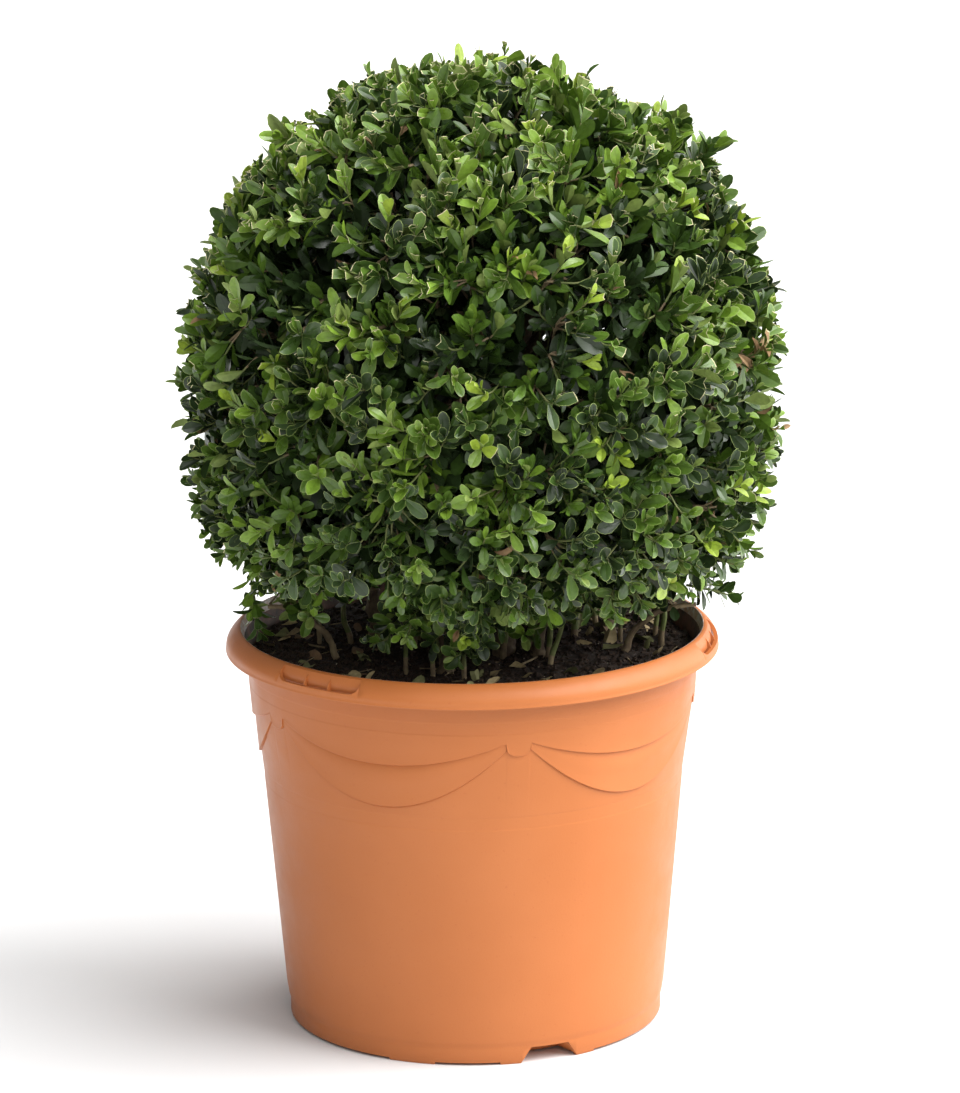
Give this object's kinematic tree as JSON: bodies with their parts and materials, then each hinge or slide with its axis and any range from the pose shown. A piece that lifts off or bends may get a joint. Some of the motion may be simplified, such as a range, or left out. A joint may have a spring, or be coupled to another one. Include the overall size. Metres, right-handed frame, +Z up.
{
  "type": "clipped box ball shrub in a container pot",
  "caption": "Box shrub clipped to a ball of small glossy leaves, in a round terracotta-coloured plastic pot with a rolled lip, swag relief and compost.",
  "frame": {"origin": "the middle of the pot's flat underside, where it stands on the ground", "axes": "+Z up along the pot's axis, -Y towards the front, +X to the viewer's right seen from the front"},
  "size_m": [0.4973, 0.4959, 0.8039],
  "materials": {
    "pot_plastic": "satin moulded terracotta-coloured plastic",
    "peat": "moist dark peat compost with leaf litter",
    "bark": "grey-brown to green young box bark",
    "leaves": "small glossy evergreen leaves, dark to mid green with paler edges"
  },
  "bodies": {
    "root": {"pot_body": "pot_plastic", "pot_lip": "pot_plastic", "compost": "peat", "stem_front": "bark", "stem_middle": "bark", "stem_leaning": "bark", "stem_right": "bark", "stem_back": "bark", "stem_left": "bark", "stem_central": "bark", "bough_low_left": "bark", "bough_low_right": "bark", "foliage_ball": "leaves", "sprig_top_left": "leaves", "sprig_top_right": "leaves", "sprig_upper_right": "leaves", "sprig_low_left": "leaves", "sprig_low_right": "leaves"}
  },
  "joints": []
}
